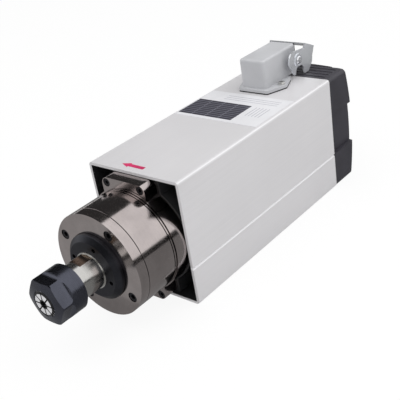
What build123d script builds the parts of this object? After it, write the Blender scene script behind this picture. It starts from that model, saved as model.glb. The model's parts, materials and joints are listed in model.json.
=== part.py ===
from build123d import *
from math import cos, pi, radians, sin, tan
import os

os.makedirs("parts", exist_ok=True)

# Square air-cooled motor spindle, in millimetres.
# +Z is up, the spindle axis is the Y axis, and the nose points to -Y.
# The origin is on the axis, on the front face of the front cover.

# Housing tube
tube_width = 104.0
tube_height = 120.0
tube_length = 235.0
tube_front = 56.0
tube_wall = 2.8
tube_corner = 3.0
groove_height = -23.0
groove_depth = 1.2
tube_rear = tube_front + tube_length
inner_width = tube_width - 2 * tube_wall
inner_height = tube_height - 2 * tube_wall
base_hole_x = 20.0
base_hole_spacing = 120.0
base_hole_front = tube_front + 34.0
base_hole_depth = 12.0
base_tap_radius = 3.4

# Fits
slip = 0.05
thread_gap = 0.10
free_gap = 0.5

# Nose and flange
nose_radius = 48.0
cover_thickness = 10.0
cover_screw_circle = 40.0
cover_screw_angle = 58.0
flange_front = 44.0
flange_back = 60.0
flange_radius = inner_width / 2 - 0.2
relief_front = flange_front - 3.0
relief_width = 1.0
relief_depth = 0.8
relief_second = 0.6
seam_chamfer = 0.4
lug_half_width = 25.0
lug_half_height = inner_height / 2 - 0.2
lug_corner = 7.0
lug_screw_inset = 5.0
lug_screw_x = lug_half_width - lug_screw_inset - 0.5
lug_screw_z = lug_half_height - lug_screw_inset
web_half_width = lug_half_width + 2.0
spigot_length = 4.0

# Stator and rotor
ring_wall = 4.2
back_iron = 6.5
slot_depth = 8.9
tooth_tip = 2.1
rotor_iron = 7.5
stator_radius = inner_width / 2 - ring_wall
slot_outer = stator_radius - back_iron
slot_inner = slot_outer - slot_depth
stator_bore = slot_inner - tooth_tip
air_gap = 0.4
ring_back = tube_rear - 59.0
core_front = flange_back + 30.0
core_back = ring_back - 32.0
end_turn = 20.0
slot_count = 24
rotor_ring_length = 8.0
rotor_seat = stator_bore - rotor_iron

# Front bearings
bearing_bore = 17.5
bearing_radius = 31.0
bearing_width = 14.0
bearing_front = 12.0
bearing_spacer = 6.0
ring_thickness = 4.0
ball_radius = 3.9
ball_count = 14
ball_gap = 0.03
ball_start = 5.0
cage_margin = 1.4
front_bearing_back = bearing_front + 2 * bearing_width + bearing_spacer

# Rear bearing
rear_bore = 12.5
rear_radius = 23.5
rear_width = 12.0
rear_front = ring_back + 4.0
rear_ring_thickness = 3.4
rear_ball_radius = 3.1
rear_ball_count = 12
rear_plate_front = ring_back
rear_plate_back = ring_back + 18.0
wire_hole_height = stator_radius - 9.0
wire_hole_radius = 6.0
wire_groove_radius = 10.0
rear_cover_radius = 29.4

# Shaft, dust cap, nut and collet
neck_radius = 16.0
flat_distance = 14.5
flats_front = -23.0
flats_back = -9.5
shoulder_front = -8.6
shoulder_step = 1.0
shaft_front = -52.0
shaft_back = tube_rear + 17.0
collar_radius = bearing_bore + 5.0
collar_back = flange_back + spigot_length + 2.0
fan_seat = 9.0
dust_radius = 30.5
dust_front = -7.0
dust_hole_circle = 21.4
dust_hole_angle = 70.0
nut_radius = 21.0
nut_back = -31.5
nut_corner = -56.6
nut_front = -59.4
nut_flat_distance = 18.5
nut_flat_end = -49.5
nut_cutter = 5.0
collet_front = -60.0
collet_back = -26.0
collet_bore = 3.0
collet_slits = 8
taper = tan(radians(8))
taper_mouth = 12.9

# Cooling fan
fan_front = tube_rear - 5.0
fan_radius = 40.0
fan_blades = 9

# Rear cap
cap_depth = 44.5
cap_wall = 2.6
cap_corner = 4.0
crown_side_radius = 250.0
crown_top_radius = 228.0
panel_half_height = 22.0
panel_depth = 4.0
skirt_length = 8.0
cap_post = 33.0
cap_post_radius = 4.5
cap_screw_depth = 16.0
rib_pitch = 7.0
grille_bars = 3.0
grille_slots = 5.0
grille_centre = 9.0
grille_rings = 4
grille_radius = grille_centre + grille_rings * (grille_bars + grille_slots)
grille_step = 0.8
cap_apex = tube_rear + cap_depth

# Connector, on the top near the back
connector_x = -3.0
connector_y = tube_rear - 32.0
foot_half_length = 21.5
foot_half_width = 26.0
foot_end_width = 17.2
foot_screw_x = 20.0
gasket_thickness = 1.2
foot_thickness = 2.8
shell_half_width = 13.5
shell_side = 2.2
shell_front = connector_y - 18.0
shell_back = connector_y + 37.0
shell_top = tube_height / 2 + 33.0
shell_wall = 2.2
collar_length = 4.0
collar_inset = 2.0
insert_front = shell_back - 20.0
pivot_y = shell_back - 6.0
pivot_z = tube_height / 2 + 18.4
peg_radius = 2.5
cheek_inner = 19.8
cheek_thickness = 1.6
top = tube_height / 2

# Rating plate, set in from the edges of the top
plate_left = 3.5
plate_right = 3.0
plate_length = 62.5
plate_from_rear = 59.7


def turned(points):
    """Solid of revolution about the spindle axis from (radius, y) points."""
    return revolve(make_face(Polyline(*points, close=True)), Axis.Y)


def along_y(sketch, front, back):
    """Sketch in (x, z) swept along the spindle axis from front to back."""
    return Pos(0, back, 0) * Rot(90, 0, 0) * extrude(sketch, back - front)


def along_x(sketch, left, right):
    """Sketch in (y, z) swept along X from left to right."""
    return extrude(Plane.YZ.offset(left) * sketch, right - left)


def rod(radius, front, back, x=0.0, z=0.0):
    """Round bar parallel to the spindle axis."""
    return along_y(Pos(x, z) * Circle(radius), front, back)


def polar(radius, angle):
    """Place in the (x, z) plane, the angle in degrees from +X towards +Z."""
    return radius * cos(radians(angle)), radius * sin(radians(angle))


def block(x0, x1, y0, y1, z0, z1):
    """Box between two corners."""
    return Pos((x0 + x1) / 2, (y0 + y1) / 2, (z0 + z1) / 2) * Box(x1 - x0, y1 - y0, z1 - z0)


def socket_screw(diameter, head, length, key, reverse=False):
    """Socket head screw along +Y, the head's underside at y = 0, or along -Y when reversed."""
    screw = rod(head / 2, -diameter, 0) + rod(diameter / 2, 0, length)
    screw -= along_y(RegularPolygon(key / 2, 6, major_radius=False), -diameter, -diameter / 2)
    return Rot(0, 0, 180) * screw if reverse else screw


def corners(x, z):
    """The four places that mirror one place."""
    return [(x, z), (-x, z), (-x, -z), (x, -z)]


def save(name, shapes):
    """Write one node as a STEP file of one solid or of a group of separate solids."""
    solids = [s for shape in (shapes if isinstance(shapes, list) else [shapes]) for s in shape.solids()]
    export_step(solids[0] if len(solids) == 1 else Compound(children=solids), f"parts/{name}.step")


def ball_ring(pitch, radius, count, y):
    """Balls of one bearing on their pitch circle."""
    places = [polar(pitch, 360 * n / count + ball_start) for n in range(count)]
    return [Pos(x, y, z) * Sphere(radius) for x, z in places]


def outer_ring(radius, thickness, pitch, ball, front, width):
    """Bearing outer ring with its ball track."""
    ring = rod(radius, front, front + width) - rod(radius - thickness, front, front + width)
    return ring - Pos(0, front + width / 2, 0) * Rot(90, 0, 0) * Torus(pitch, ball + ball_gap)


def inner_ring(radius, thickness, pitch, ball, front, width):
    """Bearing inner ring with its ball track."""
    ring = rod(radius + thickness, front, front + width) - rod(radius, front, front + width)
    return ring - Pos(0, front + width / 2, 0) * Rot(90, 0, 0) * Torus(pitch, ball + ball_gap)


def cage(pitch, ball, count, front, width):
    """Bearing cage with one pocket for each ball."""
    ring = rod(pitch + 1.1, front, front + width) - rod(pitch - 1.1, front, front + width)
    for n in range(count):
        pocket = Pos(pitch, front + width / 2, 0) * Rot(0, 90, 0) * Cylinder(ball + 0.12, 6)
        ring -= Rot(0, -360 * n / count - ball_start, 0) * pocket
    return ring


def flange_profile():
    """Disc with a lug above and a lug below."""
    lugs = RectangleRounded(2 * lug_half_width, 2 * lug_half_height, lug_corner)
    return Circle(flange_radius) + lugs


def housing_tube():
    """Extruded tube with the stator ring joined to it by webs above and below."""
    outer = RectangleRounded(tube_width, tube_height, tube_corner)
    inner = RectangleRounded(inner_width, inner_height, 1.5)
    tube = along_y(outer - inner, tube_front, tube_rear)
    ring = Circle(inner_width / 2 + 1) + Rectangle(2 * web_half_width, inner_height + 1)
    ring &= Rectangle(inner_width + 2, inner_height + 1)
    tube += along_y(ring - Circle(stator_radius), flange_back, ring_back)
    for side in (-1, 1):
        edge = side * tube_width / 2
        groove = Polyline(
            (edge, groove_height - groove_depth),
            (edge - side * groove_depth, groove_height),
            (edge, groove_height + groove_depth),
            close=True,
        )
        tube -= along_y(make_face(groove), tube_front, tube_rear)
    for x in (-base_hole_x, base_hole_x):
        for y in (base_hole_front, base_hole_front + base_hole_spacing):
            tube -= Pos(x, y, -top + base_hole_depth / 2) * Cylinder(base_tap_radius, base_hole_depth)
    for x, z in corners(lug_screw_x, lug_screw_z):
        tube -= rod(2.0, flange_back, flange_back + 14, x, z)
        tube -= rod(2.0, ring_back - 14, ring_back, x, z)
    tube -= rod(wire_groove_radius, core_back + end_turn, ring_back, 0, wire_hole_height)
    tube -= Pos(connector_x, connector_y, top) * Cylinder(9, 4 * tube_wall)
    for side in (-1, 1):
        tube -= Pos(connector_x + side * foot_screw_x, connector_y, top) * Cylinder(2.0, 4 * tube_wall)
    return tube


def nose_housing():
    """Front bearing housing, turned in one piece with the flange and its lugs."""
    relieved = nose_radius - relief_depth
    body = turned([
        (0, cover_thickness), (nose_radius - seam_chamfer, cover_thickness),
        (nose_radius, cover_thickness + seam_chamfer), (nose_radius, relief_front),
        (relieved, relief_front), (relieved, relief_front + relief_width),
        (nose_radius, relief_front + relief_width), (nose_radius, flange_front - relief_second),
        (relieved, flange_front - relief_second), (relieved, flange_front + 1), (0, flange_front + 1),
    ])
    body += along_y(flange_profile(), flange_front, flange_back)
    body += rod(stator_radius, flange_back, flange_back + spigot_length)
    body -= rod(bearing_radius, cover_thickness, front_bearing_back)
    body -= rod(25.0, front_bearing_back, flange_back + spigot_length)
    for n in range(4):
        x, z = polar(cover_screw_circle, cover_screw_angle + 90 * n)
        body -= rod(2.5, cover_thickness, cover_thickness + 14, x, z)
    for x, z in corners(lug_screw_x, lug_screw_z):
        body -= rod(3.9, flange_front, flange_front + 4.4, x, z)
        body -= rod(2.2, flange_front, flange_back + spigot_length, x, z)
    return body


def front_cover():
    """Front cover ring with the labyrinth for the dust cap and a spigot on the bearing."""
    cover = turned([
        (dust_radius + free_gap, 0), (nose_radius, 0), (nose_radius, cover_thickness - seam_chamfer),
        (nose_radius - seam_chamfer, cover_thickness),
        (bearing_radius - slip, cover_thickness), (bearing_radius - slip, bearing_front),
        (bearing_radius - ring_thickness, bearing_front), (bearing_radius - ring_thickness, cover_thickness),
        (21.5, cover_thickness), (21.5, 5), (24.5, 5), (24.5, 7.6), (28, 7.6), (28, 5),
        (dust_radius + free_gap, 5),
    ])
    for n in range(4):
        x, z = polar(cover_screw_circle, cover_screw_angle + 90 * n)
        cover -= rod(4.6, 0, 5.6, x, z)
        cover -= rod(2.7, 0, cover_thickness, x, z)
    return cover


def dust_cap():
    """Spanner disc that clamps the bearing inner rings and turns in the cover's labyrinth."""
    bore = neck_radius + shoulder_step
    disc = turned([(bore, dust_front), (25.8, dust_front), (dust_radius - 0.4, -3.4), (dust_radius, -2.9),
                   (dust_radius, 4.4), (27.5, 4.4), (27.5, 7), (25, 7), (25, 4.4), (21, 4.4),
                   (21, bearing_front), (bore, bearing_front)])
    for n in range(4):
        x, z = polar(dust_hole_circle, dust_hole_angle + 90 * n)
        disc -= rod(2.0, dust_front, dust_front + 5, x, z)
    return disc


def shaft():
    """Spindle shaft with its taper bore, neck flats and seats."""
    bar = turned([
        (0, shaft_front), (neck_radius - 0.8, shaft_front), (neck_radius, shaft_front + 0.8),
        (neck_radius, shoulder_front), (neck_radius + shoulder_step, shoulder_front),
        (neck_radius + shoulder_step, bearing_front), (bearing_bore, bearing_front),
        (bearing_bore, front_bearing_back), (collar_radius, front_bearing_back), (collar_radius, collar_back),
        (rotor_seat, collar_back), (rotor_seat, core_back + 10), (15, core_back + 14), (15, rear_front), (rear_bore, rear_front),
        (rear_bore, rear_plate_back + 8), (fan_seat, rear_plate_back + 8), (fan_seat, shaft_back - 1),
        (fan_seat - 1, shaft_back), (0, shaft_back),
    ])
    mouth = [(0, shaft_front), (taper_mouth, shaft_front), (taper_mouth - 30 * taper, shaft_front + 30),
             (8.2, shaft_front + 30), (8.2, -12), (0, -12)]
    bar -= turned(mouth)
    for side in (-1, 1):
        low, high = sorted((side * flat_distance, side * (neck_radius + 1)))
        bar -= block(-neck_radius, neck_radius, flats_front, flats_back, low, high)
    return bar


def collet():
    """Slit collet with its steep front cone, extraction groove and long rear cone."""
    seat = taper_mouth - slip
    length = collet_back - shaft_front
    body = turned([
        (collet_bore, collet_front), (9.8, collet_front), (11.2, collet_front + 0.7), (13.0, -56.2), (13.0, -55.2),
        (11.9, -54.6), (11.9, -52.8), (seat, shaft_front), (seat - length * taper, collet_back),
        (collet_bore, collet_back),
    ])
    for n in range(collet_slits):
        angle = 360 * n / collet_slits
        body -= Rot(0, angle, 0) * block(1.5, 14, collet_front, collet_back - 4, -0.3, 0.3)
        body -= Rot(0, angle + 180 / collet_slits, 0) * block(1.5, 14, collet_front + 6, collet_back, -0.3, 0.3)
    return body


def collet_nut():
    """Clamping nut: threaded bore, inner cone on the collet and six milled flats."""
    bore = neck_radius + thread_gap
    nut = turned([
        (bore, nut_back), (nut_radius - 1.2, nut_back), (nut_radius - 1.2, nut_back - 0.9),
        (nut_radius, nut_back - 1.4), (nut_radius, nut_corner), (nut_radius - 0.7, nut_corner - 0.7),
        (12.0, nut_front), (11.6, nut_front + 0.4), (13.15, -56.25), (13.15, -55.0), (14.6, -55.0),
        (14.6, -52.6), (bore, -52.6),
    ])
    for n in range(6):
        cutter = block(nut_flat_distance, nut_radius + 1, nut_front - 1, nut_flat_end, -nut_radius, nut_radius)
        cutter += Pos(nut_flat_distance + nut_cutter, nut_flat_end, 0) * Cylinder(nut_cutter, 2 * nut_radius)
        nut -= Rot(0, 30 + 60 * n, 0) * cutter
    return nut


def slot_profile(gap):
    """Stator slot in (x, z): narrow mouth, then a pear shape."""
    mouth = Pos(stator_bore + 1.2, 0) * Rectangle(3.2, 2.0 - gap)
    near, far = slot_inner + gap, slot_outer - gap
    pocket = Polyline((near, -1.9 + gap), (far, -3.0 + gap), (far, 3.0 - gap), (near, 1.9 - gap), close=True)
    return make_face(pocket), mouth


def stator_core():
    """Laminated stack with its slots."""
    pocket, mouth = slot_profile(0.0)
    section = Circle(stator_radius) - Circle(stator_bore)
    for n in range(slot_count):
        section -= Rot(0, 0, 360 * n / slot_count) * (pocket + mouth)
    return along_y(section, core_front, core_back)


def stator_windings():
    """Copper bars in the slots, joined by the end turns."""
    pocket, mouth = slot_profile(0.15)
    bars = Sketch() + [Rot(0, 0, 360 * n / slot_count) * pocket for n in range(slot_count)]
    copper = along_y(bars, core_front - 1, core_back + 1)
    low, high = slot_inner + 0.2, stator_radius - 3
    for near, far in ((core_front - 0.4, core_front - end_turn), (core_back + 0.4, core_back + end_turn)):
        bend = 3.5 if far > near else -3.5
        copper += turned([(low, near), (low, far - bend), (low + 3.5, far), (high - 3.5, far),
                          (high, far - bend), (high, near)])
    return copper


def rotor_core():
    """Laminated rotor stack."""
    radius = stator_bore - air_gap
    return rod(radius, core_front, core_back) - rod(rotor_seat, core_front, core_back)


def rotor_end_rings():
    """Cast rings at the ends of the rotor stack."""
    rings = []
    for front in (core_front - rotor_ring_length, core_back):
        back = front + rotor_ring_length
        rings.append(rod(stator_bore - 2, front, back) - rod(rotor_seat + 0.5, front, back))
    return rings


def rear_bearing_housing():
    """Rear plate with the same outline as the flange."""
    plate = along_y(flange_profile(), rear_plate_front, rear_plate_back)
    plate += rod(stator_radius, rear_plate_front - spigot_length, rear_plate_front)
    plate -= rod(stator_radius - 2, rear_plate_front - spigot_length, rear_plate_front)
    plate -= rod(19.0, rear_plate_front - spigot_length, rear_plate_back)
    plate -= rod(rear_radius, rear_plate_front + 2, rear_plate_back)
    plate -= rod(wire_hole_radius, rear_plate_front, rear_plate_back, 0, wire_hole_height)
    for x, z in corners(lug_screw_x, lug_screw_z):
        plate -= rod(3.9, rear_plate_back - 4.4, rear_plate_back, x, z)
        plate -= rod(2.2, rear_plate_front - spigot_length, rear_plate_back, x, z)
    for x, z in corners(cap_post, cap_post):
        plate -= rod(2.0, rear_plate_back - 12, rear_plate_back, x, z)
    for n in range(3):
        x, z = polar(26.5, 30 + 120 * n)
        plate -= rod(1.5, rear_plate_back - 8, rear_plate_back, x, z)
    return plate


def rear_bearing_cover():
    """Plate that keeps the rear bearing in its seat."""
    cover = rod(rear_cover_radius, rear_plate_back, rear_plate_back + 3)
    cover += rod(rear_radius - slip, rear_front + rear_width + 0.4, rear_plate_back)
    cover -= rod(20.5, rear_front + rear_width, rear_plate_back + 3)
    for n in range(3):
        x, z = polar(26.5, 30 + 120 * n)
        cover -= rod(1.6, rear_plate_back, rear_plate_back + 3, x, z)
    return cover


def preload_spring():
    """Conical spring washer that loads the rear bearing's outer ring."""
    front = rear_plate_front + 2
    return turned([(20.4, front + 1.4), (20.4, rear_front), (23.2, front + 0.6), (23.2, front)])


def rear_lock_nut():
    """Slotted nut behind the rear bearing."""
    front = rear_front + rear_width
    nut = rod(18, front, front + 6) - rod(rear_bore, front, front + 6)
    for n in range(4):
        nut -= Rot(0, 90 * n, 0) * block(15.5, 19, front, front + 6, -2, 2)
    return nut


def cooling_fan():
    """Radial cooling fan: hub, back plate and curved blades."""
    back = fan_front + 18
    fan = rod(15, fan_front, back) + rod(fan_radius, fan_front, fan_front + 2)
    blade = Pos(0, 27.5) * (Circle(27.5) - Circle(25.7))
    blade &= Pos(27, 13) * Rectangle(30, 26)
    blade &= Circle(fan_radius) - Circle(14)
    for n in range(fan_blades):
        fan += along_y(Rot(0, 0, 360 * n / fan_blades) * blade, fan_front + 1, back - 2)
    return fan - rod(fan_seat, fan_front, back)


def crowned_block(width, height, corner, apex):
    """Block from the tube's end to a back face that is crowned both ways."""
    core = along_y(RectangleRounded(width, height, corner), tube_rear, apex + 1)
    arc_y = apex - crown_top_radius
    edge = 60.0
    rise = (crown_top_radius**2 - edge**2) ** 0.5
    axis_y = apex - crown_side_radius
    face = make_face([
        Line((-edge, axis_y), (edge, axis_y)),
        Line((edge, axis_y), (edge, arc_y + rise)),
        ThreePointArc((edge, arc_y + rise), (0, apex), (-edge, arc_y + rise)),
        Line((-edge, arc_y + rise), (-edge, axis_y)),
    ])
    barrel = revolve(face, Axis((0, axis_y, 0), (1, 0, 0)))
    return core & barrel


def rear_cap():
    """Moulded fan cap: crowned back, sunk side panels, ribbed top, screw posts and the seat of the grille."""
    cap = crowned_block(tube_width, tube_height, cap_corner, cap_apex)
    hollow = crowned_block(tube_width - 2 * cap_wall, tube_height - 2 * cap_wall, cap_corner - 2, cap_apex - cap_wall)
    for side in (-1, 1):
        edge = side * tube_width / 2
        sunk = edge - side * panel_depth
        low, high = sorted((edge + side, sunk))
        cap -= block(low, high, tube_rear, cap_apex, -panel_half_height, panel_half_height)
        low, high = sorted((edge, sunk - side * cap_wall))
        reach = panel_half_height + cap_wall
        hollow -= block(low, high, tube_rear, cap_apex, -reach, reach)
    cap -= hollow
    skirt = RectangleRounded(inner_width - 0.4, inner_height - 0.4, 1.3)
    skirt -= RectangleRounded(inner_width - 7.4, inner_height - 7.4, 1.3)
    cap += along_y(skirt, tube_rear - skirt_length, tube_rear + 2)
    for n in range(5):
        for side in (-1, 1):
            y = tube_rear + rib_pitch * (n + 0.7)
            z = side * tube_height / 2
            cap -= block(-44, 44, y, y + 1.6, z - 0.8, z + 0.8)
    for x, z in corners(cap_post, cap_post):
        cap += crowned_post(x, z)
    cap -= grille_room(slip)
    for x, z in corners(cap_post, cap_post):
        cap -= rod(2.2, rear_plate_back, cap_apex, x, z)
        cap -= rod(3.9, cap_apex - cap_screw_depth, cap_apex, x, z)
    return cap


def grille_room(clearance):
    """The grille's place in the cap's back wall: a round hole with a step that stops it from inside."""
    radius = grille_radius + clearance
    room = rod(radius, tube_rear, cap_apex + 1)
    inner = crowned_block(tube_width, tube_height, cap_corner, cap_apex - cap_wall / 2 + clearance)
    return room + (rod(radius + grille_step, tube_rear, cap_apex + 1) & inner)


def rear_grille():
    """Crowned round grille of four rings on six spokes, set into the cap's back wall from inside."""
    grille = grille_room(0.0)
    grille &= crowned_block(tube_width, tube_height, cap_corner, cap_apex)
    grille -= crowned_block(tube_width, tube_height, cap_corner, cap_apex - cap_wall)
    for n in range(grille_rings):
        near = grille_centre + n * (grille_slots + grille_bars)
        slot = Circle(near + grille_slots) - Circle(near)
        for spoke in range(3):
            slot -= Rot(0, 0, 30 + 60 * spoke) * Rectangle(2 * grille_radius, 4)
        grille -= along_y(slot, cap_apex - 14, cap_apex + 1)
    return grille


def crowned_post(x, z):
    """Screw post from the rear plate to the back wall of the cap."""
    room = block(-60, 60, rear_plate_back, tube_rear, -60, 60)
    room += crowned_block(tube_width, tube_height, cap_corner, cap_apex)
    return rod(cap_post_radius, rear_plate_back, cap_apex + 1, x, z) & room


def foot_outline(grow=0.0):
    """Six-sided foot of the connector, in (x, y)."""
    half, wide, end = foot_half_length + grow, foot_half_width + grow, foot_end_width + grow
    points = [(-end, -half), (end, -half), (wide, 0), (end, half), (-end, half), (-wide, 0)]
    face = make_face(Polyline(*points, close=True))
    return fillet(face.vertices(), 2.5)


def connector_gasket():
    """Flat gasket under the connector's foot."""
    outline = foot_outline() - Circle(10)
    for side in (-1, 1):
        outline -= Pos(side * foot_screw_x, 0) * Circle(2.2)
    return Pos(connector_x, connector_y, top) * extrude(outline, gasket_thickness)


def connector_housing():
    """Angled cast housing: foot, hollow shell, collar at the mouth and side bosses for the lever."""
    foot_low = top + gasket_thickness
    foot_high = foot_low + foot_thickness
    foot = Pos(connector_x, connector_y, foot_low) * extrude(foot_outline(), foot_thickness)
    middle = (shell_front + shell_back) / 2
    length = shell_back - shell_front
    height = shell_top - foot_high
    shell = Pos(connector_x - shell_side / 2, middle, foot_high + height / 2) * Box(
        2 * shell_half_width + shell_side, length, height)
    shell = fillet(shell.edges().filter_by(Axis.Z).group_by(Axis.Y)[0], 3)
    shell = fillet(shell.edges().filter_by(Axis.Y).group_by(Axis.Z)[-1], 2.5)
    shell += foot
    collar_low = foot_high + collar_inset
    collar_high = shell_top - collar_inset
    half = shell_half_width - collar_inset
    shell += block(connector_x - half, connector_x + half, shell_back - 1, shell_back + collar_length,
                   collar_low, collar_high)
    room = shell_half_width - shell_wall
    room_left, room_right = connector_x - room - shell_side, connector_x + room
    shell -= block(room_left, room_right, shell_front + shell_wall, shell_back - 8,
                   foot_low, shell_top - shell_wall)
    mouth = half - 1.2
    shell -= block(connector_x - mouth, connector_x + mouth, shell_back - 9, shell_back + collar_length,
                   collar_low + 1.2, collar_high - 1.2)
    floor_front = connector_y + foot_half_length - 2
    shell += block(room_left, room_right, floor_front, shell_back - 8, foot_high, foot_high + 1.6)
    for side in (-1, 1):
        centre = connector_x + side * (shell_half_width + cheek_inner - 0.2) / 2
        boss = Pos(centre, pivot_y, pivot_z) * Rot(0, 90, 0) * Cylinder(5, cheek_inner - 0.2 - shell_half_width)
        shell += boss
        hole = connector_x + side * (cheek_inner - 2.2)
        shell -= Pos(hole, pivot_y, pivot_z) * Rot(0, 90, 0) * Cylinder(peg_radius, 4)
        shell -= Pos(connector_x + side * foot_screw_x, connector_y, foot_high) * Cylinder(2.2, 3 * foot_thickness)
    return shell


def connector_seal():
    """Rubber ring at the shoulder of the mouth."""
    low = top + gasket_thickness + foot_thickness + 0.3
    half = shell_half_width - 0.3
    ring = block(connector_x - half, connector_x + half, shell_back, shell_back + 1.4, low, shell_top - 0.3)
    inner = shell_half_width - collar_inset
    floor = top + gasket_thickness + foot_thickness + collar_inset
    return ring - block(connector_x - inner, connector_x + inner, shell_back, shell_back + 1.4,
                        floor, shell_top - collar_inset)


insert_height = (top + gasket_thickness + foot_thickness + shell_top) / 2
contact_places = [(-4.5, -4.5), (4.5, -4.5), (-4.5, 4.5), (4.5, 4.5)]


def connector_insert():
    """Plastic insert with four contact holes."""
    back = shell_back + collar_length - 0.8
    half = shell_half_width - collar_inset - 1.2
    body = block(connector_x - half, connector_x + half, insert_front, back,
                 insert_height - half, insert_height + half)
    for x, z in contact_places:
        body -= rod(1.6, insert_front, back, connector_x + x, insert_height + z)
    return body


def connector_contacts():
    """Sleeve contacts in the insert."""
    sleeves = []
    for x, z in contact_places:
        place = (connector_x + x, insert_height + z)
        sleeve = rod(1.6, insert_front - 5, shell_back, *place) - rod(1.1, insert_front + 4, shell_back, *place)
        sleeves.append(sleeve)
    return sleeves


def lever_pegs():
    """Pegs with domed heads, one on each side of the connector."""
    pegs = []
    for side in (-1, 1):
        inner = cheek_inner - 4.2
        head = cheek_inner + cheek_thickness + 0.3
        peg = revolve(make_face(Polyline((0, inner), (peg_radius, inner), (peg_radius, head), (4.2, head),
                                         (4.2, head + 0.6), (3.0, head + 1.6), (0, head + 1.9), close=True)), Axis.Y)
        pegs.append(Pos(connector_x, pivot_y, pivot_z) * Rot(0, 0, -90 * side) * peg)
    return pegs


def lever_cheek():
    """Side cheek of the lever in (y, z), about its pivot: front lobe, throat and hook."""
    cheek = Pos(-6, 1) * Circle(10) + Pos(7, -3) * Circle(19)
    cheek &= Pos(2, -4) * Rot(0, 0, -8) * Rectangle(64, 27)
    handle = Polyline((9, 2), (14.2, 12.9), (30.5, 5.2), (25, -6), close=True)
    cheek += make_face(handle)
    cheek -= Pos(1.5, -13.5) * Circle(7.5)
    cheek -= Pos(-3.5, -23.5) * Rectangle(25, 20)
    cheek -= Pos(20.5, -20) * Rot(0, 0, 45) * Rectangle(20, 8)
    return cheek & Pos(0, 3) * Rectangle(80, 40.8)


def locking_lever():
    """Bent lever: two cheeks on the pegs and the bridge behind them."""
    outer = cheek_inner + cheek_thickness
    profile = lever_cheek() - Circle(peg_radius + slip)
    lever = along_x(profile, -outer, -cheek_inner) + along_x(profile, cheek_inner, outer)
    ring = Circle(6.6) - Circle(5.0)
    lever += along_x(ring, outer - 0.1, outer + 0.8) + along_x(ring, -outer - 0.8, -outer + 0.1)
    bridge = make_face(Polyline((14.2, 12.9), (30.5, 5.2), (29.86, 3.84), (13.56, 11.54), close=True))
    lever += along_x(bridge, -outer, outer)
    return Pos(connector_x, pivot_y, pivot_z) * lever


def lead_wires():
    """Three phase wires and the earth wire, from the rear end turns to the contacts."""
    wires = []
    radius = 1.15
    start = core_back + end_turn
    for n, (x, z) in enumerate(contact_places):
        side = -2.2 if n % 2 == 0 else 2.2
        rise = 2.2 if n < 2 else -2.2
        points = [
            (side, start, wire_hole_height + rise), (side, rear_plate_front, wire_hole_height + rise),
            (side, rear_plate_back + 1, wire_hole_height + rise),
            (connector_x + side, connector_y - rise, top - 4), (connector_x + side, connector_y - rise, top + 6),
            (connector_x + x, insert_front - 9, insert_height + z), (connector_x + x, insert_front - 5, insert_height + z),
        ]
        path = Spline(*points, tangents=[(0, 1, 0), (0, 1, 0)])
        profile = Plane(origin=path @ 0, z_dir=path % 0) * Circle(radius)
        wires.append(sweep(profile, path))
    return wires


def screw_set(places, diameter, head, length, key, y, reverse=False):
    """The same screw at several places, the heads' undersides at one y."""
    return [Pos(x, y, z) * socket_screw(diameter, head, length, key, reverse) for x, z in places]


def connector_screws():
    """Pan head screws of the connector's foot."""
    z = top + gasket_thickness + foot_thickness
    screws = []
    for side in (-1, 1):
        head = Pos(0, 0, 1.2) * Cylinder(3.6, 2.4)
        head = fillet(head.edges().group_by(Axis.Z)[-1], 1.0)
        screw = head + Pos(0, 0, -3.4) * Cylinder(2.0, 6.8)
        screw -= Pos(0, 0, 2.4) * Box(4.6, 1.0, 1.6) + Pos(0, 0, 2.4) * Box(1.0, 4.6, 1.6)
        screws.append(Pos(connector_x + side * foot_screw_x, connector_y, z) * screw)
    return screws


def rating_plate():
    """Thin bare plate on the top."""
    edge = tube_width / 2
    back = tube_rear - plate_from_rear
    return block(plate_left - edge, edge - plate_right, back - plate_length, back, top, top + 0.4)


cover_places = [polar(cover_screw_circle, cover_screw_angle + 90 * n) for n in range(4)]
lug_places = corners(lug_screw_x, lug_screw_z)
post_places = corners(cap_post, cap_post)
rear_cover_places = [polar(26.5, 30 + 120 * n) for n in range(3)]
front_pitch = (bearing_bore + bearing_radius) / 2
rear_pitch = (rear_bore + rear_radius) / 2
bearing_starts = [bearing_front, bearing_front + bearing_width + bearing_spacer]
spacer_start = bearing_front + bearing_width
spacer_end = spacer_start + bearing_spacer

save("housing_tube", housing_tube())
save("nose_housing", nose_housing())
save("front_cover", front_cover())
save("front_cover_screws", screw_set(cover_places, 5, 8.5, 14, 4, 5.6))
save("flange_screws", screw_set(lug_places, 4, 7, 22, 3, flange_front + 4.4))
save("front_bearing_outer_rings", [
    outer_ring(bearing_radius, ring_thickness, front_pitch, ball_radius, y, bearing_width) for y in bearing_starts])
save("front_bearing_inner_rings", [
    inner_ring(bearing_bore, ring_thickness, front_pitch, ball_radius, y, bearing_width) for y in bearing_starts])
save("front_bearing_balls", [
    ball for y in bearing_starts for ball in ball_ring(front_pitch, ball_radius, ball_count, y + bearing_width / 2)])
save("front_bearing_cages", [
    cage(front_pitch, ball_radius, ball_count, y + cage_margin, bearing_width - 2 * cage_margin)
    for y in bearing_starts])
save("bearing_outer_spacer", rod(bearing_radius, spacer_start, spacer_end)
     - rod(bearing_radius - ring_thickness, spacer_start, spacer_end))
save("bearing_inner_spacer", rod(bearing_bore + ring_thickness, spacer_start, spacer_end)
     - rod(bearing_bore, spacer_start, spacer_end))
save("stator_core", stator_core())
save("stator_windings", stator_windings())
save("rear_bearing_housing", rear_bearing_housing())
save("rear_housing_screws", screw_set(lug_places, 4, 7, 24, 3, rear_plate_back - 4.4, True))
save("rear_bearing_outer_ring", outer_ring(rear_radius, rear_ring_thickness, rear_pitch, rear_ball_radius,
                                           rear_front, rear_width))
save("rear_bearing_inner_ring", inner_ring(rear_bore, rear_ring_thickness, rear_pitch, rear_ball_radius,
                                           rear_front, rear_width))
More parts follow.
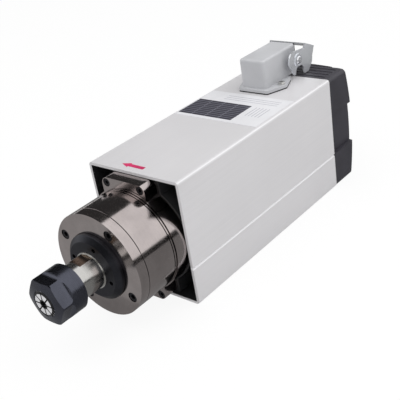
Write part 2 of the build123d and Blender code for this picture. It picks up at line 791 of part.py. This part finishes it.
save("rear_bearing_balls", ball_ring(rear_pitch, rear_ball_radius, rear_ball_count, rear_front + rear_width / 2))
save("rear_bearing_cage", cage(rear_pitch, rear_ball_radius, rear_ball_count, rear_front + cage_margin,
                               rear_width - 2 * cage_margin))
save("preload_spring", preload_spring())
save("rear_bearing_cover", rear_bearing_cover())
save("rear_cover_screws", screw_set(rear_cover_places, 3, 5.5, 9, 2.5, rear_plate_back + 3, True))
save("rear_cap", rear_cap())
save("rear_grille", rear_grille())
save("cap_screws", screw_set(post_places, 4, 7, cap_apex - cap_screw_depth - rear_plate_back + 10, 3,
                             cap_apex - cap_screw_depth, True))
save("connector_gasket", connector_gasket())
save("connector_housing", connector_housing())
save("connector_seal", connector_seal())
save("connector_insert", connector_insert())
save("connector_contacts", connector_contacts())
save("connector_screws", connector_screws())
save("lever_pegs", lever_pegs())
save("locking_lever", locking_lever())
save("lead_wires", lead_wires())
save("rating_plate", rating_plate())
save("shaft", shaft())
save("dust_cap", dust_cap())
save("rotor_core", rotor_core())
save("rotor_end_rings", rotor_end_rings())
save("rear_lock_nut", rear_lock_nut())
save("cooling_fan", cooling_fan())
save("fan_clip", rod(12, fan_front + 18, fan_front + 19.2) - rod(fan_seat, fan_front + 18, fan_front + 19.2))
save("collet", collet())
save("collet_nut", collet_nut())
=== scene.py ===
import bpy
import json
import numpy as np
from mathutils import Matrix, Vector


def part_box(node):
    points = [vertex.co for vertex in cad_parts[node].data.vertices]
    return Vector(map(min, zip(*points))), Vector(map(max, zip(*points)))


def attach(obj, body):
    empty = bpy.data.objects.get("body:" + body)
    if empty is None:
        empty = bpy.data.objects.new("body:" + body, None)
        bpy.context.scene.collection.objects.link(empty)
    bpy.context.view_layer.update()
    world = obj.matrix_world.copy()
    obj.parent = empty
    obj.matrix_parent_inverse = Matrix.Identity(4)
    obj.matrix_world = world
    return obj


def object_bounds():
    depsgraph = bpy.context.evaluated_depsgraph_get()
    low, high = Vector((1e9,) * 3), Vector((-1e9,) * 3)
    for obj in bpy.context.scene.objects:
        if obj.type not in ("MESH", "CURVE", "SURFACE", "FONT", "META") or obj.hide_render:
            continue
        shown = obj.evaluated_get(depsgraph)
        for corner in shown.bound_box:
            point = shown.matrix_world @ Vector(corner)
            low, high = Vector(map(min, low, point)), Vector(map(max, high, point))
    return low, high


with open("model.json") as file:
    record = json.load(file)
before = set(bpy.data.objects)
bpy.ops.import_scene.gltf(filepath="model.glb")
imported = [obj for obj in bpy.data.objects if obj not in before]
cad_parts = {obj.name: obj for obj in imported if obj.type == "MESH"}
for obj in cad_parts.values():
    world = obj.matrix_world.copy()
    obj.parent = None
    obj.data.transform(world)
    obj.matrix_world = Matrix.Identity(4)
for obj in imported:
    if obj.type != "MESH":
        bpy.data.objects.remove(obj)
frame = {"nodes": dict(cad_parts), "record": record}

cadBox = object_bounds()
print("frame loaded,", len(frame["nodes"]), "nodes")

# Camera: place and turn come from the photograph. Right, up and back are the columns of its turn.
cameraView = {
    "lens": 67.405,
    "sensor": 36.0,
    "clip": (0.01, 50.0),
    "place": (0.43177, -0.31832, 0.32478),
    "right": (0.767182, 0.623589, -0.150230),
    "up": (-0.196626, 0.451569, 0.870301),
    "back": (0.610549, -0.638140, 0.469049),
}


def makeCamera(view):
    data = bpy.data.cameras.new("camera")
    data.lens = view["lens"]
    data.sensor_width = view["sensor"]
    data.clip_start, data.clip_end = view["clip"]
    camera = bpy.data.objects.new("camera", data)
    bpy.context.scene.collection.objects.link(camera)
    turn = Matrix((view["right"], view["up"], view["back"])).transposed()
    camera.matrix_world = Matrix.Translation(view["place"]) @ turn.to_4x4()
    bpy.context.scene.camera = camera


makeCamera(cameraView)
print("camera placed")


# Helpers for node trees

# A value that is a socket is linked, and any other value is set on the input.
def addNode(tree, kind, inputs=None, **settings):
    made = tree.nodes.new(kind)
    for key, value in settings.items():
        setattr(made, key, value)
    for key, value in (inputs or {}).items():
        if isinstance(value, bpy.types.NodeSocket):
            tree.links.new(value, made.inputs[key])
        else:
            made.inputs[key].default_value = value
    return made


def calc(tree, operation, *values):
    return addNode(tree, "ShaderNodeMath", dict(enumerate(values)), operation=operation).outputs[0]


# All the values multiplied: with masks of 0 and 1 it is 1 only where each of them is.
def product(tree, *values):
    total = values[0]
    for value in values[1:]:
        total = calc(tree, "MULTIPLY", total, value)
    return total


# 1 where the value lies between low and high, otherwise 0.
def between(tree, value, low, high):
    return product(tree, calc(tree, "GREATER_THAN", value, low), calc(tree, "LESS_THAN", value, high))


# The first colour where share is 0, the second where it is 1, and a blend between.
def mixColours(tree, share, first, second):
    return addNode(tree, "ShaderNodeMix", {0: share, 6: first, 7: second}, data_type="RGBA").outputs[2]


# Noise lies mostly within 0.3 to 0.7: that range is carried over to low to high.
def spread(tree, value, low, high):
    ends = {"Value": value, "From Min": 0.3, "From Max": 0.7, "To Min": low, "To Max": high}
    return addNode(tree, "ShaderNodeMapRange", ends).outputs[0]


# The point in the part's own metres, each axis times its stretch.
def place(tree, stretch=(1.0, 1.0, 1.0)):
    coords = addNode(tree, "ShaderNodeTexCoord")
    values = {"Vector": coords.outputs["Object"], "Scale": stretch}
    return addNode(tree, "ShaderNodeMapping", values).outputs[0]


def splitPlace(tree):
    return addNode(tree, "ShaderNodeSeparateXYZ", {0: place(tree)}).outputs


def noise(tree, vector, scale, detail=2.0, rough=0.5):
    values = {"Vector": vector, "Scale": scale, "Detail": detail, "Roughness": rough}
    return addNode(tree, "ShaderNodeTexNoise", values).outputs[0]


def bump(tree, shader, height, distance):
    made = addNode(tree, "ShaderNodeBump", {"Height": height, "Distance": distance, "Strength": 1.0})
    tree.links.new(made.outputs[0], shader.inputs["Normal"])


# The colour times the factor, and full cover as the fourth value.
def shade(colour, factor=1.0):
    return tuple(part * factor for part in colour) + (1.0,)


# Soft clouds: the colour goes from darker to lighter by the given change with the noise.
def clouded(tree, cloud, colour, change):
    share = spread(tree, cloud, 0.0, 1.0)
    return mixColours(tree, share, shade(colour, 1 - change), shade(colour, 1 + change))


def startFinish(name, metal=0.0):
    material = bpy.data.materials.new(name)
    material.use_nodes = True
    tree = material.node_tree
    tree.nodes.clear()
    shader = addNode(tree, "ShaderNodeBsdfPrincipled", {"Metallic": metal})
    out = addNode(tree, "ShaderNodeOutputMaterial")
    tree.links.new(shader.outputs[0], out.inputs["Surface"])
    return material, tree, shader


# Moulded, coated and cast finishes

castDetail = {"cloudScale": 45.0, "detail": 3.0, "glossChange": 0.04}

castLooks = {
    "screw_black": {"name": "screwBlack", "colour": (0.035, 0.035, 0.040), "rough": 0.38, "metal": 0.9,
                    "grain": 4000.0},
    "cap_plastic": {"name": "capMoulding", "colour": (0.038, 0.036, 0.046), "rough": 0.50, "grain": 1800.0,
                    "depth": 0.00004},
    "fan_plastic": {"name": "fanMoulding", "colour": (0.012, 0.012, 0.012), "rough": 0.45},
    "connector_alloy": {"name": "connectorCoat", "colour": (0.53, 0.535, 0.555), "rough": 0.42,
                        "grain": 1300.0, "change": 0.05},
    "lever_chrome": {"name": "leverChrome", "colour": (0.88, 0.90, 0.94), "rough": 0.18, "metal": 0.65,
                     "grain": 260.0, "depth": 0.00012, "change": 0.06, "stretch": (1.0, 0.7, 1.0)},
    "peg_chrome": {"name": "pegChrome", "colour": (0.84, 0.85, 0.88), "rough": 0.10, "metal": 0.8,
                   "grain": 900.0, "depth": 0.000004, "change": 0.04},
    "zinc": {"name": "zincPlate", "colour": (0.66, 0.66, 0.64), "rough": 0.28, "metal": 1.0, "grain": 1500.0,
             "depth": 0.00001},
    "seal_rubber": {"name": "sealRubber", "colour": (0.010, 0.010, 0.011), "rough": 0.6, "grain": 1500.0},
    "insert_plastic": {"name": "insertMoulding", "colour": (0.32, 0.32, 0.33), "rough": 0.45},
    "contact_brass": {"name": "contactPlate", "colour": (0.75, 0.58, 0.28), "rough": 0.22, "metal": 1.0,
                      "depth": 0.000005},
    "wire_cover": {"name": "wireCover", "colour": (0.30, 0.03, 0.02), "rough": 0.35},
    "copper": {"name": "windingCopper", "colour": (0.55, 0.22, 0.09), "rough": 0.35, "metal": 0.8,
               "grain": 900.0, "depth": 0.0001},
    "rotor_alloy": {"name": "rotorCasting", "colour": (0.60, 0.60, 0.62), "rough": 0.4, "metal": 1.0},
    "cage_plastic": {"name": "cageMoulding", "colour": (0.40, 0.26, 0.12), "rough": 0.4},
    "spring_steel": {"name": "springSteel", "colour": (0.30, 0.30, 0.32), "rough": 0.3, "metal": 1.0},
}


# Fine noise, stretched where the look says so, gives the grain in height and gloss. Large noise gives the
# clouds in colour and gloss.
def castFinish(name, colour, rough, metal=0.0, grain=2500.0, depth=0.00003, change=0.12,
               stretch=(1.0, 1.0, 1.0)):
    material, tree, shader = startFinish(name, metal)
    cloud = noise(tree, place(tree), castDetail["cloudScale"], castDetail["detail"])
    fine = noise(tree, place(tree, stretch), grain, castDetail["detail"])
    tree.links.new(clouded(tree, cloud, colour, change), shader.inputs["Base Color"])
    step = castDetail["glossChange"]
    gloss = calc(tree, "ADD", spread(tree, cloud, -step, step),
                 spread(tree, fine, rough - step, rough + step))
    tree.links.new(gloss, shader.inputs["Roughness"])
    bump(tree, shader, fine, depth)
    return material


# Turned and ground finishes

turnedDetail = {
    "cloudScale": 60.0,
    "detail": 3.0,
    "ringRough": 0.6,
    "ringShare": 0.25,    # how far the dark of a turning mark goes
    "ringShade": 0.8,
    "cloudGloss": 0.02,
    "ringGloss": (-0.03, 0.05),
}

# Painted shade where the nose's pieces meet: in the two relief grooves and in the seam behind the cover.
noseGrooveShade = [
    {"inner": 0.0465, "outer": 0.04795, "front": 0.0405, "back": 0.0442, "colour": (0.035, 0.030, 0.030)},
    {"inner": 0.0465, "outer": 0.04790, "front": 0.0095, "back": 0.0105, "colour": (0.060, 0.050, 0.050)},
]

# Brown film on the two milled flats of the shaft.
shaftStain = {
    "height": 0.0145,
    "near": 0.00005,
    "radius": 0.01593,
    "front": -0.024,
    "colour": (0.27, 0.20, 0.15),
}

# The collet's face has painted shade along the slits and at its rim, and in its bore.
colletFaceShade = {
    "colour": (0.012, 0.012, 0.014),
    "front": -0.0590,
    "slits": 8,
    "slitWidth": 0.0013,
    "rim": 0.0094,
    "bore": 0.0043,
    "boreEnd": -0.0440,
}


# Each groove is a ring of painted shade: it is painted where the radius and the place along the axis both lie
# within it.
def paintGrooveShade(tree, colours, spots, radius):
    for groove in noseGrooveShade:
        ring = product(tree, between(tree, radius, groove["inner"], groove["outer"]),
                       between(tree, spots[1], groove["front"], groove["back"]))
        colours = mixColours(tree, ring, colours, shade(groove["colour"]))
    return colours


# A flat is where the height over or under the axis is the flat's own, within the shaft and behind the nut.
def paintStain(tree, colours, spots, radius):
    level = calc(tree, "ABSOLUTE", spots[2])
    offset = calc(tree, "ABSOLUTE", calc(tree, "SUBTRACT", level, shaftStain["height"]))
    milled = product(tree, calc(tree, "LESS_THAN", offset, shaftStain["near"]),
                     calc(tree, "LESS_THAN", radius, shaftStain["radius"]),
                     calc(tree, "GREATER_THAN", spots[1], shaftStain["front"]))
    return mixColours(tree, milled, colours, shade(shaftStain["colour"]))


# The angle round the axis folds over half the pitch of the slits, so it is 0 at each slit, and that angle
# times the radius is the distance from the slit.
def paintColletShade(tree, colours, spots, radius):
    angle = calc(tree, "ARCTAN2", spots[0], spots[2])
    away = product(tree, calc(tree, "PINGPONG", angle, float(np.pi) / colletFaceShade["slits"]), radius)
    slit = calc(tree, "LESS_THAN", away, colletFaceShade["slitWidth"] / 2)
    edges = calc(tree, "MAXIMUM", slit, calc(tree, "GREATER_THAN", radius, colletFaceShade["rim"]))
    face = product(tree, edges, calc(tree, "LESS_THAN", spots[1], colletFaceShade["front"]))
    bore = product(tree, calc(tree, "LESS_THAN", radius, colletFaceShade["bore"]),
                   calc(tree, "LESS_THAN", spots[1], colletFaceShade["boreEnd"]))
    # The slits, the rim and the bore take the painted shade colour.
    return mixColours(tree, calc(tree, "MAXIMUM", face, bore), colours, shade(colletFaceShade["colour"]))


turnedLooks = {
    "nose_steel": {"name": "noseSteel", "colour": (0.54, 0.485, 0.475), "rough": 0.13, "paint": paintGrooveShade},
    "bearing_steel": {"name": "bearingSteel", "colour": (0.62, 0.62, 0.64), "rough": 0.15},
    "shaft_steel": {"name": "shaftSteel", "colour": (0.64, 0.63, 0.61), "rough": 0.19, "depth": 0.000003,
                    "paint": paintStain},
    "dust_cap_steel": {"name": "dustCapBlack", "colour": (0.055, 0.056, 0.066), "rough": 0.38,
                       "change": 0.15},
    "nut_steel": {"name": "nutBlack", "colour": (0.095, 0.099, 0.124), "rough": 0.26, "change": 0.15,
                  "marks": 1500.0},
    "collet_steel": {"name": "colletSteel", "colour": (0.84, 0.84, 0.86), "rough": 0.32, "metal": 0.35,
                     "paint": paintColletShade},
}


# The radius is the root of x squared plus z squared. Noise on radius and place along the axis, both times
# marks, is the same all the way round, so it makes rings in the height, the gloss and the colour.
def turnedFinish(name, colour, rough, metal=1.0, marks=2200.0, depth=0.000004, change=0.1, paint=None):
    material, tree, shader = startFinish(name, metal)
    spots = splitPlace(tree)
    squares = calc(tree, "ADD", product(tree, spots[0], spots[0]), product(tree, spots[2], spots[2]))
    radius = calc(tree, "SQRT", squares)
    fine = {0: product(tree, radius, marks), 1: product(tree, spots[1], marks)}
    ringPlace = addNode(tree, "ShaderNodeCombineXYZ", fine).outputs[0]
    ring = noise(tree, ringPlace, 1.0, turnedDetail["detail"], turnedDetail["ringRough"])
    cloud = noise(tree, place(tree), turnedDetail["cloudScale"], turnedDetail["detail"])
    colours = mixColours(tree, spread(tree, ring, 0.0, turnedDetail["ringShare"]),
                         clouded(tree, cloud, colour, change), shade(colour, turnedDetail["ringShade"]))
    if paint:
        colours = paint(tree, colours, spots, radius)
    tree.links.new(colours, shader.inputs["Base Color"])
    step = turnedDetail["cloudGloss"]
    low, high = (rough + shift for shift in turnedDetail["ringGloss"])
    gloss = calc(tree, "ADD", spread(tree, cloud, -step, step), spread(tree, ring, low, high))
    tree.links.new(gloss, shader.inputs["Roughness"])
    bump(tree, shader, ring, depth)
    return material


# Housing tube

tubeLook = {
    "colour": (0.70, 0.69, 0.705),
    "colourChange": 0.04,
    # painted shade inside the walls, and a painted highlight on the long corners and the V groove
    "inside": (0.03, 0.03, 0.032),
    "edge": (0.83, 0.825, 0.845),
    "rough": 0.42,
    "metal": 0.12,
    "streakStretch": (900.0, 6.0, 900.0),
    "grainScale": 3500.0,
    "cloudScale": 14.0,
    "cloudDetail": 3.0,
    "cloudShare": 0.6,        # of the change in colour; the streaks have the rest
    "streakHeight": 0.5,      # against the grain's 1
    "grainGloss": 0.05,
    "streakGloss": 0.03,
    "depth": 0.00002,
    "innerHalfWidth": 0.0494,
    "innerHalfHeight": 0.0574,
    "cornerX": 0.0507,
    "cornerZ": 0.0587,
    "grooveX": 0.0519,
    "grooveZ": -0.023,
    "grooveHalf": 0.0013,
}


# Noise stretched along the tube makes its streaks. Inside the walls the colour is painted shade, and the long
# corners and the
# V groove have a lighter colour that is a painted highlight.
def tubeFinish(look):
    material, tree, shader = startFinish("extrusionSatin", look["metal"])
    streak = noise(tree, place(tree, look["streakStretch"]), 1.0)
    grain = noise(tree, place(tree), look["grainScale"])
    cloud = noise(tree, place(tree), look["cloudScale"], look["cloudDetail"])
    streaked = spread(tree, streak, 0.0, 1 - look["cloudShare"])
    share = calc(tree, "MULTIPLY_ADD", spread(tree, cloud, 0.0, 1.0), look["cloudShare"], streaked)
    change = look["colourChange"]
    colours = mixColours(tree, share, shade(look["colour"], 1 - change), shade(look["colour"], 1 + change))
    spots = splitPlace(tree)
    across, upright = (calc(tree, "ABSOLUTE", spots[axis]) for axis in (0, 2))
    corner = product(tree, calc(tree, "GREATER_THAN", across, look["cornerX"]),
                     calc(tree, "GREATER_THAN", upright, look["cornerZ"]))
    offset = calc(tree, "ABSOLUTE", calc(tree, "SUBTRACT", spots[2], look["grooveZ"]))
    groove = product(tree, calc(tree, "LESS_THAN", across, look["grooveX"]),
                     calc(tree, "LESS_THAN", offset, look["grooveHalf"]))
    # The long corners and the V groove get the painted highlight colour.
    colours = mixColours(tree, calc(tree, "MAXIMUM", corner, groove), colours, shade(look["edge"]))
    # Inside the walls the colour is painted shade.
    inside = product(tree, calc(tree, "LESS_THAN", across, look["innerHalfWidth"]),
                     calc(tree, "LESS_THAN", upright, look["innerHalfHeight"]))
    tree.links.new(mixColours(tree, inside, colours, shade(look["inside"])), shader.inputs["Base Color"])
    step = look["grainGloss"]
    gloss = calc(tree, "ADD", spread(tree, grain, look["rough"] - step, look["rough"] + step),
                 spread(tree, streak, -look["streakGloss"], look["streakGloss"]))
    tree.links.new(gloss, shader.inputs["Roughness"])
    bump(tree, shader, calc(tree, "MULTIPLY_ADD", streak, look["streakHeight"], grain), look["depth"])
    return material


# Rating plate: each box is low and high across, then low and high along the part

plateLook = {
    "white": (0.79, 0.79, 0.815),
    "whiteChange": 0.04,
    "dark": (0.036, 0.035, 0.050),
    "rule": (0.24, 0.24, 0.28),
    "faint": (0.42, 0.42, 0.47),
    "rough": 0.3,
    "cloudScale": 80.0,
    "depth": 0.00002,
    "table": (-0.0475, 0.0165, 0.1735, 0.2085),
    "tableRows": 9,
    "tableColumns": (-0.0310, -0.0150, 0.0010),
    "side": (0.0215, 0.0400, 0.1870, 0.2070),
    "sideRows": 5,
    "head": (-0.0230, 0.0400, 0.2140, 0.2260),
    "headRows": 3,
    "ruleWidth": 0.0008,
}


# 1 where both places lie within the box, otherwise 0.
def insideBox(tree, across, along, box):
    return product(tree, between(tree, across, box[0], box[1]), between(tree, along, box[2], box[3]))


# The value folds back and forth over half a pitch, so it is 0 at each line's middle. Below half a width it
# is on the line.
def rulesAcross(tree, value, start, pitch, width):
    away = calc(tree, "PINGPONG", calc(tree, "SUBTRACT", value, start), pitch / 2)
    return calc(tree, "LESS_THAN", away, width / 2)


# White enamel with a dark table of ruled rows and columns, and beside it two empty fields of faint rules.
def plateFinish(look):
    material, tree, shader = startFinish("plateEnamel")
    shader.inputs["Roughness"].default_value = look["rough"]
    spots = splitPlace(tree)
    across, along = spots[0], spots[1]
    cloud = noise(tree, place(tree), look["cloudScale"])
    worn = shade(look["white"], 1 - look["whiteChange"])
    colours = mixColours(tree, spread(tree, cloud, 0.0, 1.0), worn, shade(look["white"]))
    table = look["table"]
    lines = rulesAcross(tree, along, table[2], (table[3] - table[2]) / look["tableRows"], look["ruleWidth"])
    for column in look["tableColumns"]:
        away = calc(tree, "ABSOLUTE", calc(tree, "SUBTRACT", across, column))
        lines = calc(tree, "MAXIMUM", lines, calc(tree, "LESS_THAN", away, look["ruleWidth"] / 2))
    ruled = mixColours(tree, lines, shade(look["dark"]), shade(look["rule"]))
    colours = mixColours(tree, insideBox(tree, across, along, table), colours, ruled)
    for field, value, first in (("side", across, 0), ("head", along, 2)):
        box = look[field]
        pitch = (box[first + 1] - box[first]) / look[field + "Rows"]
        lines = rulesAcross(tree, value, box[first] + pitch / 2, pitch, look["ruleWidth"])
        share = product(tree, lines, insideBox(tree, across, along, box))
        colours = mixColours(tree, share, colours, shade(look["faint"]))
    tree.links.new(colours, shader.inputs["Base Color"])
    bump(tree, shader, cloud, look["depth"])
    return material


# Laminated stack of the stator and the rotor

stackLook = {
    "colour": (0.35, 0.35, 0.37),
    "seam": 0.5,
    "pitch": 0.0005,
    "rough": (0.35, 0.5),
    "grainScale": 300.0,
    "depth": 0.00005,
}


# The place along the axis folds over half a sheet, from 0 at a seam to 1 in the middle of a sheet.
def stackFinish(look):
    material, tree, shader = startFinish("stackSheets", 1.0)
    half = look["pitch"] / 2
    sheet = calc(tree, "DIVIDE", calc(tree, "PINGPONG", splitPlace(tree)[1], half), half)
    colours = mixColours(tree, sheet, shade(look["colour"], look["seam"]), shade(look["colour"]))
    tree.links.new(colours, shader.inputs["Base Color"])
    gloss = spread(tree, noise(tree, place(tree), look["grainScale"]), *look["rough"])
    tree.links.new(gloss, shader.inputs["Roughness"])
    bump(tree, shader, sheet, look["depth"])
    return material


finishes = {slot: castFinish(**look) for slot, look in castLooks.items()}
finishes.update({slot: turnedFinish(**look) for slot, look in turnedLooks.items()})
finishes["tube_alloy"] = tubeFinish(tubeLook)
finishes["plate_white"] = plateFinish(plateLook)
finishes["laminations"] = stackFinish(stackLook)

for part in frame["record"]["subparts"]:
    shown = frame["nodes"][part["node"]]
    if not shown.material_slots:
        shown.data.materials.append(None)
    for spot in shown.material_slots:
        spot.material = finishes[part["material_slot"]]


# New pieces

# Flat faces between the points, with the faces that close the ends where there are any.
def meshFrom(name, points, faces, material, ends=()):
    mesh = bpy.data.meshes.new(name)
    mesh.from_pydata(points.reshape(-1, 3).tolist(), [], faces.tolist() + [end.tolist() for end in ends])
    mesh.polygons.foreach_set("use_smooth", np.zeros(len(mesh.polygons), dtype=bool))
    mesh.materials.append(material)
    mesh.update()
    made = bpy.data.objects.new(name, mesh)
    bpy.context.scene.collection.objects.link(made)
    return made


# Each face joins two neighbours of a row with the two behind them, and a closed row's last with its first.
def gridFaces(rows, columns, closed):
    across = columns if closed else columns - 1
    row, column = np.meshgrid(np.arange(rows - 1), np.arange(across), indexing="ij")
    near = row * columns + column
    far = row * columns + (column + 1) % columns
    return np.stack((near, far, far + columns, near + columns), axis=-1).reshape(-1, 4)


arrowLook = {
    "tail": 0.0069,
    "tip": -0.0188,
    "along": 0.0654,
    "halfWidth": 0.0021,
    "tailShare": 0.85,        # of the half width, right at the tail
    "headHalfWidth": 0.0036,
    "headLength": 0.0085,
    "tipHalfWidth": 0.00008,
    "tailEnd": 0.02,          # shares of the length: the end of the rounding at the tail,
    "neckStep": 0.001,        # the step at the neck,
    "tipStart": 0.995,        # and the last point before the tip
    "lift": 0.00002,
    "thickness": 0.00012,
    "colour": (0.58, 0.035, 0.13),
    "rough": 0.4,
}


# The half width is even up to the neck, then steps out and falls evenly to the tip. The section is a flat
# loop: four points on top and four below, at shares of the half width.
def rotationArrow(look):
    length = look["tail"] - look["tip"]
    neck = 1 - look["headLength"] / length
    share = np.array([0.0, look["tailEnd"], neck / 2, neck, neck + look["neckStep"], (neck + 1) / 2,
                      look["tipStart"], 1.0])
    head = look["headHalfWidth"] * (1 - share) / (1 - neck) + look["tipHalfWidth"]
    half = np.where(share <= neck, look["halfWidth"], head)
    half[0] *= look["tailShare"]
    turns = np.array([-1.0, -0.5, 0.5, 1.0, 1.0, 0.5, -0.5, -1.0])
    top = np.array([1.0, 1.0, 1.0, 1.0, 0.0, 0.0, 0.0, 0.0])
    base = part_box("housing_tube")[1].z + look["lift"]
    points = np.zeros((len(share), len(turns), 3))
    points[..., 0] = (look["tail"] - share * length)[:, None]
    points[..., 1] = look["along"] + half[:, None] * turns
    points[..., 2] = base + look["thickness"] * top
    first = np.arange(len(turns))
    last = first[::-1] + (len(share) - 1) * len(turns)
    made = meshFrom("rotation_arrow", points, gridFaces(len(share), len(turns), True),
                    castFinish("arrowPrint", look["colour"], look["rough"]), ends=(first, last))
    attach(made, "frame")


rotationArrow(arrowLook)
print("arrow made")


# Studio: a pale floor, a white surround and soft lamps

studio = {
    "white": (1.0, 1.0, 1.0, 1.0),
    "surroundLight": 0.66,
    "floorHalf": 3.0,
    "floorGap": 0.0002,
    "floorColour": (0.96, 0.96, 0.96),
    "floorGlow": 0.91,
    "aim": (0.0, 0.12, 0.0),
}

lamps = {
    "key": {"spot": (0.95, 0.75, 1.25), "size": 1.3, "power": 7.5},
    "fill": {"spot": (-0.1, -0.5, 1.8), "size": 1.6, "power": 14.0},
}

# Dark cards round the object, as a product photographer sets them: only polished surfaces show them.
# Each has a middle, the direction and half size of each of its two sides, and how bright it is.
cards = {
    "card_high_left": {"middle": (-1.55, 1.27, 1.30), "across": (0.0, 0.715, -0.699), "halfAcross": 1.2,
                       "upward": (-0.64, -0.53, -0.55), "halfUp": 1.5, "bright": 0.04},
    "card_low_right": {"middle": (0.65, 0.82, -0.0580), "across": (1.0, 0.0, 0.0), "halfAcross": 1.65,
                       "upward": (0.0, 1.0, 0.0), "halfUp": 0.85, "bright": 0.22},
    "card_low_front": {"middle": (-0.95, -1.0, -0.0590), "across": (1.0, 0.0, 0.0), "halfAcross": 1.04,
                       "upward": (0.0, 1.0, 0.0), "halfUp": 1.0, "bright": 0.36},
    "card_front_right": {"middle": (1.24, -1.03, -0.0588), "across": (1.0, 0.0, 0.0), "halfAcross": 1.15,
                         "upward": (0.0, 1.0, 0.0), "halfUp": 1.0, "bright": 0.10},
    "card_front_wall": {"middle": (-0.2, -1.7, 1.08), "across": (1.0, 0.0, 0.0), "halfAcross": 2.2,
                        "upward": (0.0, 0.0, 1.0), "halfUp": 0.88, "bright": 0.05},
    "card_front_high": {"middle": (0.85, -1.7, 2.47), "across": (1.0, 0.0, 0.0), "halfAcross": 1.35,
                        "upward": (0.0, 0.0, 1.0), "halfUp": 0.5, "bright": 0.05},
    "card_horizon": {"middle": (0.70, 0.43, 0.013), "across": (-0.51, 0.86, 0.0), "halfAcross": 0.55,
                     "upward": (0.0, 0.0, 1.0), "halfUp": 0.067, "bright": 0.02},
}


# 1 for the rays that show a background, which are the camera's, those in gloss and those through glass.
def seenRays(tree):
    path = addNode(tree, "ShaderNodeLightPath")
    first = calc(tree, "MAXIMUM", path.outputs["Is Camera Ray"], path.outputs["Is Glossy Ray"])
    return calc(tree, "MAXIMUM", first, path.outputs["Is Transmission Ray"])


# The first shader where share is 0 and the second where it is 1, led to an output node of that kind.
def blendShaders(tree, share, first, second, kind):
    both = addNode(tree, "ShaderNodeMixShader", {0: share, 1: first.outputs[0], 2: second.outputs[0]})
    out = addNode(tree, kind)
    tree.links.new(both.outputs[0], out.inputs["Surface"])


# As light the surround is dimmer than what is seen of it, which is full white.
def makeWorld(look):
    world = bpy.data.worlds.new("surround")
    world.use_nodes = True
    tree = world.node_tree
    tree.nodes.clear()
    light = addNode(tree, "ShaderNodeBackground", {"Color": look["white"], "Strength": look["surroundLight"]})
    seen = addNode(tree, "ShaderNodeBackground", {"Color": look["white"], "Strength": 1.0})
    blendShaders(tree, seenRays(tree), light, seen, "ShaderNodeOutputWorld")
    bpy.context.scene.world = world


# The floor is paper for light and shadow, and mostly white for the rays that show it.
def makeFloor(look):
    side = np.array([-look["floorHalf"], look["floorHalf"]])
    points = np.zeros((2, 2, 3))
    points[..., 0], points[..., 1] = side[None, :], side[:, None]
    points[..., 2] = cadBox[0].z - look["floorGap"]
    material = bpy.data.materials.new("floorPaper")
    material.use_nodes = True
    tree = material.node_tree
    tree.nodes.clear()
    paper = addNode(tree, "ShaderNodeBsdfDiffuse", {"Color": shade(look["floorColour"])})
    glow = addNode(tree, "ShaderNodeEmission", {"Color": look["white"], "Strength": 1.0})
    share = product(tree, seenRays(tree), look["floorGlow"])
    blendShaders(tree, share, paper, glow, "ShaderNodeOutputMaterial")
    floor = meshFrom("floor", points, gridFaces(2, 2, False), material)


# The upward direction loses its part along the across one, so that the card's corners are square.
def makeCard(name, middle, across, halfAcross, upward, halfUp, bright):
    sides = np.array([[-1.0, -1.0], [1.0, -1.0], [-1.0, 1.0], [1.0, 1.0]])
    first = np.array(across) / np.linalg.norm(across) * halfAcross
    second = np.array(upward) - first * np.dot(upward, first) / halfAcross**2
    second = second / np.linalg.norm(second) * halfUp
    points = np.array(middle) + sides[:, :1] * first + sides[:, 1:] * second
    material = bpy.data.materials.new(name + "_paint")
    material.use_nodes = True
    tree = material.node_tree
    tree.nodes.clear()
    paint = addNode(tree, "ShaderNodeEmission", {"Color": studio["white"], "Strength": bright})
    out = addNode(tree, "ShaderNodeOutputMaterial")
    tree.links.new(paint.outputs[0], out.inputs["Surface"])
    card = meshFrom(name, points, gridFaces(2, 2, False), material)
    card.visible_camera = card.visible_diffuse = card.visible_transmission = False
    card.visible_shadow = card.visible_volume_scatter = False


# A square lamp that faces the aimed point and isn't mirrored in gloss.
def makeLamp(name, spot, size, power):
    data = bpy.data.lights.new(name, "AREA")
    data.shape = "SQUARE"
    data.size = size
    data.energy = power
    lamp = bpy.data.objects.new(name, data)
    bpy.context.scene.collection.objects.link(lamp)
    lamp.location = spot
    lamp.visible_glossy = False
    lamp.rotation_mode = "QUATERNION"
    lamp.rotation_quaternion = (Vector(studio["aim"]) - Vector(spot)).to_track_quat("-Z", "Y")


makeWorld(studio)
makeFloor(studio)
for name, card in cards.items():
    makeCard(name, **card)
for name, lamp in lamps.items():
    makeLamp(name, **lamp)
bpy.context.scene.view_settings.view_transform = "Standard"
print("studio ready")
